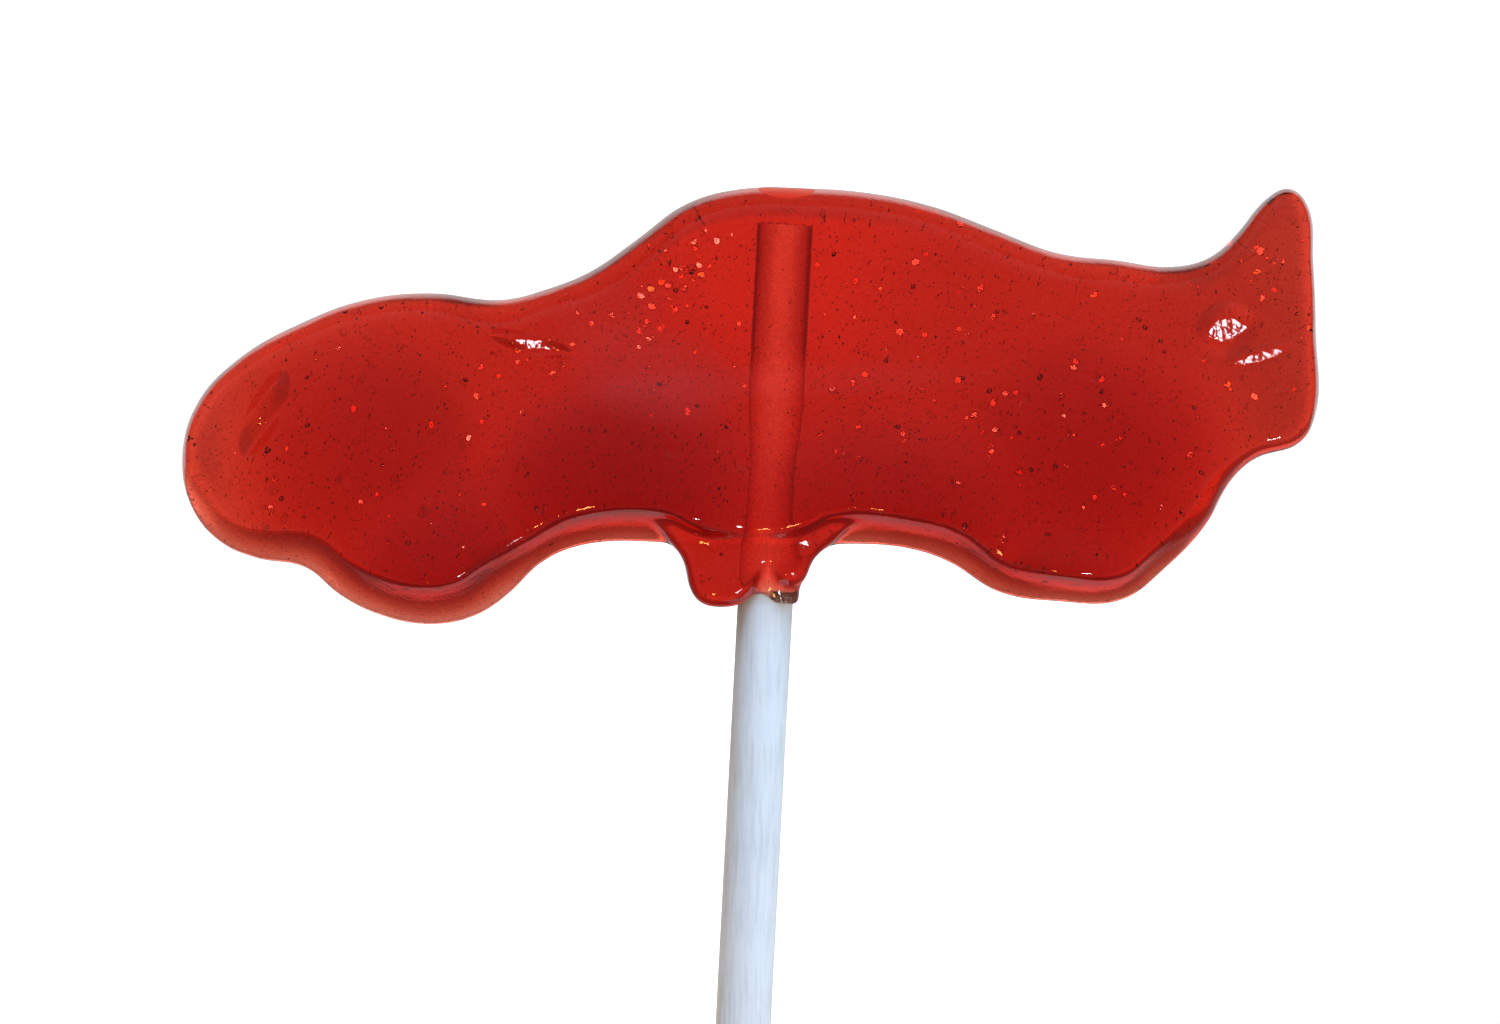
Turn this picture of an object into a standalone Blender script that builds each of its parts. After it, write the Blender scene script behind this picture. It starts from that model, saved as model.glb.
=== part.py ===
"""Barley sugar lollipop: a cast red sweet in the outline of a car, on a rolled paper stick.

It lies on its flat back at z = 0 with the shown face up. The roof of the car is toward +Y,
its nose toward -X, and the stick leaves the sill toward -Y. The sizes below are in
millimetres, and MM turns them into the metres that Blender works in.
"""

import math

import bmesh
import bpy
from mathutils import Matrix, Vector

MM = 0.001

# Outline, clockwise from the nose. Each stretch has the shape of the rim between its upright wall
# and the face, the width and height of that rim, the level of the face there, and its points.
STRETCHES = (
    ("nose", "round", 1.7, 3.3, 5.9, ((-41.2, -3.9), (-40.1, 0.1), (-37.0, 3.4))),
    ("bonnet", "round", 1.9, 3.8, 6.4, ((-32.6, 5.9), (-28.0, 7.6), (-23.0, 8.1), (-18.0, 7.6))),
    ("windscreen", "round", 1.9, 4.0, 6.7, ((-14.7, 8.4), (-11.5, 9.7), (-8.2, 12.0))),
    ("roof", "round", 2.0, 4.3, 6.9, ((-4.6, 14.6), (-0.4, 15.7), (4.0, 15.7), (8.4, 15.4), (13.2, 14.4))),
    ("rear window", "round", 1.9, 4.0, 6.5, ((18.0, 12.6), (22.3, 11.0))),
    ("boot", "round", 1.7, 3.6, 6.1, ((26.5, 10.5), (30.6, 10.0), (33.4, 10.7))),
    ("spoiler", "round", 1.1, 2.8, 5.8, ((35.4, 12.5), (37.3, 14.8), (39.1, 15.7), (40.4, 14.5))),
    ("tail", "round", 1.5, 3.3, 6.6, ((40.8, 10.4), (41.0, 5.4), (40.8, -1.4), (39.7, -2.9))),
    ("tail underside", "round", 1.6, 4.0, 7.2, ((36.6, -3.9), (34.7, -5.7), (33.2, -8.5))),
    ("rear wheel", "sloped", 1.8, 6.0, 8.4, ((30.0, -12.0), (27.0, -14.2), (22.4, -14.3))),
    ("rear corner", "sloped", 2.2, 6.2, 9.0, ((18.0, -13.6), (14.4, -11.4))),
    ("sill behind the stick", "sloped", 2.0, 6.2, 9.2, ((11.3, -10.4), (5.8, -10.1))),
    ("sill over the collar", "sloped", 0.9, 1.8, 9.0, ((3.6, -10.0), (0.0, -10.0), (-3.6, -10.0))),
    ("sill before the stick", "sloped", 2.0, 6.4, 9.6, ((-5.8, -10.0), (-12.2, -10.2), (-15.2, -11.5))),
    ("front wheel", "sloped", 2.7, 7.0, 9.1, ((-17.4, -13.7), (-20.0, -15.4), (-23.2, -16.0), (-26.6, -15.4))),
    ("front corner", "sloped", 2.6, 5.6, 7.9, ((-29.7, -13.9), (-32.3, -11.8))),
    ("chin", "sloped", 2.4, 4.6, 7.2, ((-35.6, -11.2), (-38.4, -10.0), (-40.5, -7.5))),
)
CURVE_STEPS = 8
# Shapes of the rim: share of its width and share of its height, from the wall to the face.
RIMS = {
    "round": ((0.0, 0.0), (0.08, 0.22), (0.2, 0.46), (0.4, 0.74), (0.7, 0.92), (1.0, 1.0)),
    "sloped": ((0.0, 0.0), (0.2, 0.13), (0.4, 0.28), (0.6, 0.46), (0.8, 0.71), (1.0, 1.0)),
}
BACK_ROUND = ((0.0, 0.8), (0.3, 0.3), (0.9, 0.05), (1.6, 0.0))  # height and inset of the back edge
MOULD_HEADROOM = 4.0

# Levels of the face over the back.
BASE_LEVEL = 5.2
BLANK = ((-46.0, 20.0), (46.0, 20.0), (46.0, -20.0), (-46.0, -20.0))  # the face before the mould trims it
# Swellings of the face: centre, half widths, level that it starts from and level of its top.
SWELLINGS = (
    ("cabin", (2.0, 0.0), (48.0, 38.0), 3.0, 7.5),
    ("front wing", (-27.0, -4.0), (13.0, 12.5), 2.0, 8.6),
    ("front wheel", (-21.5, -12.5), (11.0, 10.0), 1.0, 10.4),
    ("door", (-9.0, -6.5), (13.0, 11.0), 1.0, 11.2),
    ("sill", (10.0, -8.0), (17.0, 9.5), 1.0, 10.1),
    ("rear wing", (24.0, -4.0), (14.0, 12.5), 2.0, 9.4),
    ("rear wheel", (22.5, -13.0), (8.0, 7.0), 1.0, 9.8),
)

# Collar of sugar that grips the stick below the sill, and the dip where it thins out on the stick.
COLLAR_LEVEL = 7.6
COLLAR_WALL = ((0.0, 0.5), (0.5, 0.1), (1.2, 0.0), (6.0, 0.0), (7.1, 0.3), (7.6, 0.9))
COLLAR = ((7.0, -8.4), (6.2, -9.9), (5.2, -10.6), (4.5, -11.3), (4.2, -12.3), (3.6, -13.1), (2.4, -13.3),
          (1.1, -13.4), (0.3, -14.0), (-0.6, -14.5), (-2.0, -14.7), (-3.4, -14.5), (-4.2, -13.7),
          (-4.6, -12.4), (-4.8, -11.3), (-5.3, -10.5), (-5.9, -9.9), (-6.4, -8.4))
DIP_START = (1.4, -10.4, 7.5)
DIP_SLOPE = math.radians(6.0)
DIP_SPREAD = math.radians(22.0)
DIP_LENGTH = 8.0

# Rolled paper stick.
STICK_RADIUS = 2.0
STICK_LENGTH = 114.0
STICK_TOP = (2.53, 12.87)
STICK_HEIGHT = 3.7
STICK_LEAN = math.radians(3.0)
STICK_SIDES = 40
STICK_CHAMFER = 0.2
CLEARANCE = 0.3

# The cast form is melted together on this grid, and its faces are then thinned out.
MELT_GRID = 0.4
FACE_PASSES = 110
EDGE_PASSES = 7
BACK_TRIM = 0.12
KEPT_FACES = 0.15


def clear_scene():
    """Removes what the file opened with."""
    for thing in list(bpy.data.objects):
        bpy.data.objects.remove(thing, do_unlink=True)


def new_collection(name, hidden=False):
    """Returns a new collection in the scene, left out of the render if it is hidden."""
    made = bpy.data.collections.new(name)
    made.hide_render = hidden
    bpy.context.scene.collection.children.link(made)
    return made


def new_object(name, mesh, collection):
    """Returns a new object that holds the mesh."""
    made = bpy.data.objects.new(name, mesh)
    collection.objects.link(made)
    return made


def material(name, colour, roughness, transmission=0.0):
    """Returns a Principled material with a linear colour."""
    made = bpy.data.materials.new(name)
    made.use_nodes = True
    shader = made.node_tree.nodes["Principled BSDF"]
    shader.inputs["Base Color"].default_value = (*colour, 1.0)
    shader.inputs["Roughness"].default_value = roughness
    shader.inputs["Metallic"].default_value = 0.0
    shader.inputs["Transmission Weight"].default_value = transmission
    made.diffuse_color = (*colour, 1.0)
    return made


def smooth_loop(points):
    """Returns the points of a closed smooth curve through points given in millimetres."""
    curve = bpy.data.curves.new("outline", "CURVE")
    curve.dimensions = "3D"
    curve.resolution_u = CURVE_STEPS
    spline = curve.splines.new("BEZIER")
    spline.bezier_points.add(len(points) - 1)
    spline.use_cyclic_u = True
    for anchor, point in zip(spline.bezier_points, points):
        anchor.co = Vector(point) * MM
        anchor.handle_left_type = "AUTO"
        anchor.handle_right_type = "AUTO"
    holder = bpy.data.objects.new("outline", curve)
    bpy.context.scene.collection.objects.link(holder)
    bpy.context.view_layer.update()
    mesh = bpy.data.meshes.new_from_object(holder)
    loop = [vertex.co.copy() for vertex in mesh.vertices]
    bpy.data.objects.remove(holder, do_unlink=True)
    bpy.data.meshes.remove(mesh)
    return loop


def loft(name, sections, collection):
    """Returns a closed solid through sections, each a loop of points given in millimetres."""
    form = bmesh.new()
    rings = [[form.verts.new(point) for point in smooth_loop(section)] for section in sections]
    for low, high in zip(rings, rings[1:]):
        for i in range(len(low)):
            j = (i + 1) % len(low)
            form.faces.new((low[i], low[j], high[j], high[i]))
    form.faces.new(rings[0])
    form.faces.new(rings[-1])
    bmesh.ops.recalc_face_normals(form, faces=form.faces)
    mesh = bpy.data.meshes.new(name)
    form.to_mesh(mesh)
    form.free()
    return new_object(name, mesh, collection)


def inward_normals(points):
    """Returns the unit vector toward the inside at each point of a clockwise outline."""
    normals = []
    for i in range(len(points)):
        before = Vector(points[i - 1])
        after = Vector(points[(i + 1) % len(points)])
        along = (after - before).normalized()
        normals.append(Vector((along.y, -along.x)))
    return normals


def wall_profile(shape, width, height, level):
    """Returns the heights and insets of a wall: rounded back edge, upright part and rim."""
    profile = list(BACK_ROUND)
    for across, up in RIMS[shape]:
        profile.append((level - height + height * up, width * across))
    profile.append((level + MOULD_HEADROOM, width))
    return profile


def mould(collection):
    """Returns the outer form of the sweet, tall enough for every level of its face."""
    points = []
    profiles = []
    for _, shape, width, height, level, stretch in STRETCHES:
        for point in stretch:
            points.append(point)
            profiles.append(wall_profile(shape, width, height, level))
    return walled("mould", points, profiles, collection)


def walled(name, points, profiles, collection):
    """Returns a solid with an outline and, at each of its points, a profile of heights and insets."""
    normals = inward_normals(points)
    sections = []
    for step in range(len(profiles[0])):
        section = []
        for point, normal, profile in zip(points, normals, profiles):
            height, inset = profile[step]
            section.append((*(Vector(point) + normal * inset), height))
        sections.append(section)
    return loft(name, sections, collection)


def slab(name, points, level, collection):
    """Returns a flat layer from the back up to a level, with the given outline."""
    return walled(name, points, [((0.0, 0.0), (level, 0.0))] * len(points), collection)


def swelling(name, centre, half_widths, base, top, collection):
    """Returns a flattened ball that stands out of the face."""
    bpy.ops.mesh.primitive_uv_sphere_add(segments=48, ring_count=24, radius=1.0)
    ball = bpy.context.object
    ball.name = name
    reach = (half_widths[0] * MM, half_widths[1] * MM, (top - base) * MM)
    place = Matrix.Translation((centre[0] * MM, centre[1] * MM, base * MM))
    ball.data.transform(place @ Matrix.Diagonal((*reach, 1.0)))
    for owner in list(ball.users_collection):
        owner.objects.unlink(ball)
    collection.objects.link(ball)
    return ball


def dip(collection):
    """Returns the cone that hollows the collar over the stick."""
    form = bmesh.new()
    bmesh.ops.create_cone(
        form,
        cap_ends=True,
        segments=STICK_SIDES,
        radius1=DIP_LENGTH * math.tan(DIP_SPREAD) * MM,
        radius2=0.0,
        depth=DIP_LENGTH * MM,
    )
    apex = Matrix.Translation((0.0, 0.0, -DIP_LENGTH / 2 * MM))
    turn = Matrix.Rotation(-STICK_LEAN, 4, "Z") @ Matrix.Rotation(DIP_SLOPE - math.radians(90.0), 4, "X")
    place = Matrix.Translation(Vector(DIP_START) * MM)
    bmesh.ops.transform(form, matrix=place @ turn @ apex, verts=form.verts)
    mesh = bpy.data.meshes.new("dip")
    form.to_mesh(mesh)
    form.free()
    return new_object("dip", mesh, collection)


def boolean(target, operation, collection):
    """Applies an exact Boolean of the target with every object of a collection."""
    step = target.modifiers.new(operation.title(), "BOOLEAN")
    step.solver = "EXACT"
    step.operation = operation
    step.operand_type = "COLLECTION"
    step.collection = collection
    apply_modifiers(target)


def apply_modifiers(target):
    """Replaces the mesh of the target by its evaluated one and drops the modifiers."""
    bpy.context.view_layer.update()
    graph = bpy.context.evaluated_depsgraph_get()
    old = target.data
    target.data = bpy.data.meshes.new_from_object(target.evaluated_get(graph))
    target.modifiers.clear()
    bpy.data.meshes.remove(old)


def melt(target, passes):
    """Softens every step and edge of the form, as poured sugar does."""
    grid = target.modifiers.new("Melt", "REMESH")
    grid.mode = "VOXEL"
    grid.voxel_size = MELT_GRID * MM
    soft = target.modifiers.new("Soften", "SMOOTH")
    soft.factor = 0.5
    soft.iterations = passes
    apply_modifiers(target)


def trim_back(target):
    """Cuts the back flat again after the melt and sets it at z = 0."""
    form = bmesh.new()
    form.from_mesh(target.data)
    everything = form.verts[:] + form.edges[:] + form.faces[:]
    height = BACK_TRIM * MM
    cut = bmesh.ops.bisect_plane(
        form, geom=everything, plane_co=(0.0, 0.0, height), plane_no=(0.0, 0.0, 1.0), clear_inner=True
    )
    rim = [part for part in cut["geom_cut"] if isinstance(part, bmesh.types.BMEdge)]
    bmesh.ops.edgeloop_fill(form, edges=rim)
    bmesh.ops.translate(form, verts=form.verts, vec=(0.0, 0.0, -height))
    bmesh.ops.recalc_face_normals(form, faces=form.faces)
    form.to_mesh(target.data)
    form.free()


def thin_out(target):
    """Leaves only as many faces as the soft form needs."""
    fewer = target.modifiers.new("Fewer faces", "DECIMATE")
    fewer.ratio = KEPT_FACES
    apply_modifiers(target)


def stick_solid(name, radius, above, length, chamfer, collection):
    """Returns a round bar on the axis of the stick, whose top end stands above it by some."""
    form = bmesh.new()
    bmesh.ops.create_cone(
        form,
        cap_ends=True,
        segments=STICK_SIDES,
        radius1=radius * MM,
        radius2=radius * MM,
        depth=length * MM,
    )
    if chamfer:
        rims = [edge for edge in form.edges if abs(edge.verts[0].co.z - edge.verts[1].co.z) < chamfer * MM]
        bmesh.ops.bevel(form, geom=rims, offset=chamfer * MM, segments=1, affect="EDGES")
    top = Vector((STICK_TOP[0], STICK_TOP[1], STICK_HEIGHT)) * MM
    down = Matrix.Rotation(-STICK_LEAN, 4, "Z") @ Vector((0.0, -1.0, 0.0))
    middle = top - down * above * MM + down * length / 2 * MM
    turn = Matrix.Rotation(-STICK_LEAN, 4, "Z") @ Matrix.Rotation(math.radians(90.0), 4, "X")
    bmesh.ops.transform(form, matrix=Matrix.Translation(middle) @ turn, verts=form.verts)
    mesh = bpy.data.meshes.new(name)
    form.to_mesh(mesh)
    form.free()
    return new_object(name, mesh, collection)


def build_candy(collection, cutters):
    """Builds the sweet: soft face inside the mould, the collar with its dip, the melt and the bore."""
    relief = new_collection("face", hidden=True)
    candy = slab("candy", BLANK, BASE_LEVEL, collection)
    for name, centre, half_widths, base, top in SWELLINGS:
        swelling(name, centre, half_widths, base, top, relief)
    boolean(candy, "UNION", relief)
    melt(candy, FACE_PASSES)

    shapes = new_collection("mould", hidden=True)
    mould(shapes)
    boolean(candy, "INTERSECT", shapes)

    grip = new_collection("collar", hidden=True)
    walled("collar", COLLAR, [COLLAR_WALL] * len(COLLAR), grip)
    boolean(candy, "UNION", grip)
    hollow = new_collection("dip", hidden=True)
    dip(hollow)
    boolean(candy, "DIFFERENCE", hollow)
    melt(candy, EDGE_PASSES)
    thin_out(candy)
    trim_back(candy)

    stick_solid("bore", STICK_RADIUS + CLEARANCE, CLEARANCE, STICK_LENGTH, 0.0, cutters)
    boolean(candy, "DIFFERENCE", cutters)
    for used in (relief, shapes, grip, hollow):
        for part in list(used.objects):
            bpy.data.objects.remove(part, do_unlink=True)
        bpy.data.collections.remove(used)
    candy.data.materials.clear()
    candy.data.materials.append(material("red barley sugar", (0.60, 0.015, 0.012), 0.12, 0.6))
    candy.data.shade_smooth()
    return candy


def build_stick(collection):
    """Builds the rolled paper stick."""
    stick = stick_solid("stick", STICK_RADIUS, 0.0, STICK_LENGTH, STICK_CHAMFER, collection)
    stick.data.materials.append(material("white rolled paper", (0.80, 0.84, 0.88), 0.65))
    return stick


def main():
    """Builds the lollipop."""
    clear_scene()
    lollipop = new_collection("barley sugar lollipop")
    cutters = new_collection("cutters", hidden=True)
    build_candy(lollipop, cutters)
    build_stick(lollipop)
    for cutter in cutters.objects:
        cutter.display_type = "WIRE"
        cutter.hide_render = True


main()
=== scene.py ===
"""Dresses the barley sugar lollipop: clear red cast sugar on a rolled paper stick.

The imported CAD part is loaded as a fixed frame. The sugar is recast over its CAD solid with a
melted skin, set onto the stick, pitted by burst bubbles, and filled with air bubbles, flakes of
air and burnt specks. The stick is rolled again from a sheet of paper. Both are seen from above,
over a light panel and under a few lamps.
"""

from __future__ import annotations

import logging
import math
import random
from contextlib import contextmanager
from dataclasses import dataclass, field
from enum import Enum
from typing import Any, Callable, Iterator, Sequence

import bpy
from mathutils import Matrix, Vector
from mathutils.bvhtree import BVHTree

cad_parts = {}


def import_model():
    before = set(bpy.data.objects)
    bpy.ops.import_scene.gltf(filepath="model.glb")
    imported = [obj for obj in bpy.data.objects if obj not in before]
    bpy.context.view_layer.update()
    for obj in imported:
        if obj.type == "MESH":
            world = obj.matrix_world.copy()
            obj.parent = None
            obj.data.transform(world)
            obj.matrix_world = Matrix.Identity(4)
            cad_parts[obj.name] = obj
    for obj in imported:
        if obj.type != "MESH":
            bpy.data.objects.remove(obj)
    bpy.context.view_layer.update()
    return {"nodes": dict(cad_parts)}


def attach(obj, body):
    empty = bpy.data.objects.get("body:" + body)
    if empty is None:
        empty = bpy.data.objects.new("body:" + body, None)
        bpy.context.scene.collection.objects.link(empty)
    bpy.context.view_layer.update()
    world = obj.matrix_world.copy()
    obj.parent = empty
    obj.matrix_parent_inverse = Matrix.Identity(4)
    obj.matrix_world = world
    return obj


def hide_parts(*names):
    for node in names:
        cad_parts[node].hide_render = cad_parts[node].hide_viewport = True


log = logging.getLogger("lollipop")

MM = 0.001
# The photograph's frame, the pixel that shows the origin of the row frame, and its scale.
IMAGE_WIDTH = 1500
IMAGE_HEIGHT = 1024
ORIGIN_PIXEL = (750.0, 405.0)
MM_PER_PIXEL = 0.0727
PANEL_DEPTH_MM = 60.0
# Points of the stick that lie within this of an end belong to it.
STICK_END_MM = 3.0
# Height in metres from which the face is looked for, over all of the sweet.
RAY_HEIGHT = 0.05
# How far the edges of the pits lean, which keeps them smooth.
PIT_LEAN = math.radians(29.0)

Socket = bpy.types.NodeSocket
Tree = bpy.types.NodeTree
Thing = bpy.types.Object
Pixel = tuple[float, float]
Span = tuple[float, float]


def from_pixel(x: float, y: float, z_mm: float = 0.0) -> Vector:
    """Turns a place in the photograph into metres in the row frame.

    Args:
        x: Pixels from the left edge.
        y: Pixels from the top edge.
        z_mm: Height over the back of the sweet.

    Returns:
        The point in metres.
    """
    across = (x - ORIGIN_PIXEL[0]) * MM_PER_PIXEL
    up = (ORIGIN_PIXEL[1] - y) * MM_PER_PIXEL
    return Vector((across, up, z_mm)) * MM


def level_of(y: float) -> float:
    """Returns the Y in metres of a row of pixels of the photograph."""
    return from_pixel(0.0, y).y


def linear(hex_colour: str) -> tuple[float, float, float, float]:
    """Turns an sRGB colour such as "#b4281f" into a linear one with full alpha."""
    channels = [int(hex_colour[i : i + 2], 16) / 255 for i in (1, 3, 5)]
    curve = [c / 12.92 if c <= 0.04045 else ((c + 0.055) / 1.055) ** 2.4 for c in channels]
    return (curve[0], curve[1], curve[2], 1.0)


def heading(azimuth: float, elevation: float) -> Vector:
    """Returns the unit vector toward a place in the sky.

    Args:
        azimuth: Degrees from +Y toward +X.
        elevation: Degrees over the horizon.
    """
    turn, rise = math.radians(azimuth), math.radians(elevation)
    return Vector((math.sin(turn) * math.cos(rise), math.cos(turn) * math.cos(rise), math.sin(rise)))


# --- The stick's axis ------------------------------------------------------------------------


@dataclass(frozen=True)
class StickLine:
    """The axis of the stick, as the CAD node has it."""

    top: Vector
    foot: Vector
    radius: float

    @classmethod
    def of_node(cls, node: Thing) -> StickLine:
        """Measures the stick's axis on its CAD node.

        Args:
            node: The stick's object.

        Returns:
            The line through the middles of both ends.
        """
        points = [vertex.co for vertex in node.data.vertices]
        ends = []
        for edge in (max(point.y for point in points), min(point.y for point in points)):
            near = [point for point in points if abs(point.y - edge) < STICK_END_MM * MM]
            ends.append(sum(near, Vector()) / len(near))
        along = (ends[1] - ends[0]).normalized()
        radius = max((point - ends[0]).cross(along).length for point in points)
        spans = [(point - ends[0]).dot(along) for point in points]
        return cls(ends[0] + along * min(spans), ends[0] + along * max(spans), radius)

    @property
    def along(self) -> Vector:
        """The unit vector from the end inside the sugar to the free end."""
        return (self.foot - self.top).normalized()

    @property
    def across(self) -> Vector:
        """The level unit vector square to the stick."""
        return self.along.cross(Vector((0.0, 0.0, 1.0))).normalized()

    def at_level(self, y: float) -> Vector:
        """Returns the point of the axis at a place along Y, in metres."""
        return self.top + self.along * ((y - self.top.y) / self.along.y)

    def gap(self, point: Vector) -> float:
        """Returns the distance from a point to the axis between its ends."""
        share = (point - self.top).dot(self.along)
        share = min(max(share, 0.0), (self.foot - self.top).length)
        return (point - self.top - self.along * share).length


# --- Node helpers ----------------------------------------------------------------------------


def new_tree(name: str) -> tuple[bpy.types.Material, Tree]:
    """Makes a material with an empty node tree.

    Args:
        name: The material's name.

    Returns:
        The material and its tree.
    """
    made = bpy.data.materials.new(name)
    made.use_nodes = True
    made.node_tree.nodes.clear()
    return made, made.node_tree


def add_node(
    tree: Tree, kind: str, links: dict[str | int, Socket] | None = None, **settings: Any
) -> bpy.types.Node:
    """Adds a node with its settings and links.

    Args:
        tree: The tree that takes the node.
        kind: The node's type, such as ShaderNodeTexNoise.
        links: Sockets that feed the node's inputs, by the input's name or number.
        **settings: Attributes of the node, or values of its inputs with _ for a space.

    Returns:
        The node.
    """
    made = tree.nodes.new(kind)
    attributes = {name: value for name, value in settings.items() if hasattr(made, name)}
    for name, value in attributes.items():
        setattr(made, name, value)
    for name, value in settings.items():
        if name not in attributes:
            made.inputs[name.replace("_", " ")].default_value = value
    for name, source in (links or {}).items():
        tree.links.new(source, made.inputs[name])
    return made


def feed(tree: Tree, entry: Socket, value: Socket | float | Sequence[float]) -> None:
    """Links a socket to an input, or sets the input to a constant."""
    if isinstance(value, Socket):
        tree.links.new(value, entry)
    else:
        entry.default_value = value


def maths(tree: Tree, operation: str, *values: float | Socket) -> Socket:
    """Adds a Math node.

    Args:
        tree: The tree that takes the node.
        operation: What it works out, such as MULTIPLY.
        *values: Numbers or sockets for its inputs.

    Returns:
        The result.
    """
    made = add_node(tree, "ShaderNodeMath", operation=operation)
    for place, value in enumerate(values):
        feed(tree, made.inputs[place], value)
    return made.outputs["Value"]


def vector_maths(tree: Tree, operation: str, first: Socket, second: Sequence[float] = ()) -> Socket:
    """Adds a Vector Math node of a socket and, if it takes one, a constant vector."""
    made = add_node(tree, "ShaderNodeVectorMath", {0: first}, operation=operation)
    if second:
        made.inputs[1].default_value = tuple(second)
    number = operation in ("DOT_PRODUCT", "LENGTH", "DISTANCE")
    return made.outputs["Value" if number else "Vector"]


def ramp(tree: Tree, value: Socket, start: float, end: float, low: float = 0.0, high: float = 1.0) -> Socket:
    """Adds a smooth step from low at the start to high at the end."""
    return add_node(
        tree,
        "ShaderNodeMapRange",
        {"Value": value},
        interpolation_type="SMOOTHSTEP",
        From_Min=start,
        From_Max=end,
        To_Min=low,
        To_Max=high,
    ).outputs["Result"]


def ramp_mm(tree: Tree, value: Socket, span_mm: Span, low: float = 0.0, high: float = 1.0) -> Socket:
    """Adds a smooth step over a span in millimetres."""
    return ramp(tree, value, span_mm[0] * MM, span_mm[1] * MM, low, high)


def ramp_rows(tree: Tree, y: Socket, rows: Span, low: float = 0.0, high: float = 1.0) -> Socket:
    """Adds a smooth step along Y between two rows of pixels of the photograph."""
    return ramp(tree, y, level_of(rows[0]), level_of(rows[1]), low, high)


def noise(tree: Tree, place: Socket, size_mm: float, detail: float = 3.0, rough: float = 0.5) -> Socket:
    """Adds a noise whose grains are about that many millimetres wide."""
    return add_node(
        tree,
        "ShaderNodeTexNoise",
        {"Vector": place},
        Scale=1.0 / (size_mm * MM),
        Detail=detail,
        Roughness=rough,
    ).outputs["Fac"]


def blend(tree: Tree, share: Socket, first: str, second: str | Socket) -> Socket:
    """Adds a mix of a hex colour with another one or with a socket."""
    made = add_node(tree, "ShaderNodeMix", {"Factor": share}, data_type="RGBA")
    made.inputs[6].default_value = linear(first)
    feed(tree, made.inputs[7], linear(second) if isinstance(second, str) else second)
    return made.outputs[2]


def mixed(tree: Tree, share: Socket, first: float | Socket, second: float | Socket) -> Socket:
    """Adds a mix of two numbers."""
    made = add_node(tree, "ShaderNodeMix", {0: share}, data_type="FLOAT")
    feed(tree, made.inputs[2], first)
    feed(tree, made.inputs[3], second)
    return made.outputs[0]


def object_place(tree: Tree) -> Socket:
    """Adds the coordinates on the piece, in metres."""
    return add_node(tree, "ShaderNodeTexCoord").outputs["Object"]


def axis_of(tree: Tree, place: Socket, axis: str) -> Socket:
    """Adds the X, Y or Z of a place."""
    return add_node(tree, "ShaderNodeSeparateXYZ", {"Vector": place}).outputs[axis]


def from_axis(tree: Tree, place: Socket, line: StickLine) -> Socket:
    """Adds the distance from the stick's axis."""
    start = vector_maths(tree, "SUBTRACT", place, line.top)
    return vector_maths(tree, "LENGTH", vector_maths(tree, "CROSS_PRODUCT", start, line.along))


def close_tree(tree: Tree, surface: bpy.types.Node, volume: bpy.types.Node | None = None) -> None:
    """Sends a surface shader, and a volume if there is one, to the material's output."""
    links: dict[str | int, Socket] = {"Surface": surface.outputs[0]}
    if volume:
        links["Volume"] = volume.outputs[0]
    add_node(tree, "ShaderNodeOutputMaterial", links)


# --- Finishes --------------------------------------------------------------------------------


@dataclass(frozen=True)
class Patch:
    """An oval of the face, placed by the photograph and turned away from +X by some degrees."""

    name: str
    pixel: Pixel
    half_length_mm: float
    half_width_mm: float
    turn: float

    def start(self, tree: Tree, place: Socket) -> Socket:
        """Adds the way from the middle of the oval to a place."""
        centre = from_pixel(*self.pixel)
        return vector_maths(tree, "SUBTRACT", place, (centre.x, centre.y, 0.0))

    def inside(self, tree: Tree, start: Socket) -> Socket:
        """Adds a mask that is one in the middle of the oval and falls to nought at its rim."""
        angle = math.radians(self.turn)
        lengthwise = Vector((math.cos(angle), math.sin(angle), 0.0))
        widthwise = Vector((-math.sin(angle), math.cos(angle), 0.0))
        run = vector_maths(tree, "DOT_PRODUCT", start, lengthwise / (self.half_length_mm * MM))
        side = vector_maths(tree, "DOT_PRODUCT", start, widthwise / (self.half_width_mm * MM))
        reach = maths(tree, "ADD", maths(tree, "MULTIPLY", run, run), maths(tree, "MULTIPLY", side, side))
        return ramp(tree, reach, 1.0, 0.0)


@dataclass(frozen=True)
class Crinkle(Patch):
    """A patch of the shown face that set in wrinkles, which run across its length.

    It leans by some degrees toward one side. The span in face_mm is the height over the back
    from which it shows, so that the flat back has no wrinkles.
    """

    wrinkle_mm: float
    depth_mm: float
    lean_azimuth: float
    lean: float
    face_mm: Span = (3.0, 4.0)
    stretch: float = 0.4

    def height(self, tree: Tree, place: Socket) -> Socket:
        """Adds the height of the patch over the skin, in millimetres.

        Args:
            tree: The tree that takes the nodes.
            place: The coordinates on the piece.

        Returns:
            The height, which is nought outside the patch.
        """
        start = self.start(tree, place)
        squeezed = add_node(
            tree,
            "ShaderNodeMapping",
            {"Vector": start},
            Rotation=(0.0, 0.0, -math.radians(self.turn)),
            Scale=(1.0, self.stretch, 1.0),
        ).outputs["Vector"]
        wrinkle = noise(tree, squeezed, self.wrinkle_mm, detail=2.0)
        toward = heading(self.lean_azimuth, 0.0) * (-math.tan(math.radians(self.lean)) / MM)
        slope = vector_maths(tree, "DOT_PRODUCT", start, toward)
        relief = maths(tree, "MULTIPLY_ADD", wrinkle, self.depth_mm, slope)
        on_face = ramp_mm(tree, axis_of(tree, place, "Z"), self.face_mm)
        raised = maths(tree, "MULTIPLY", relief, self.inside(tree, start))
        return maths(tree, "MULTIPLY", raised, on_face)


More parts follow.
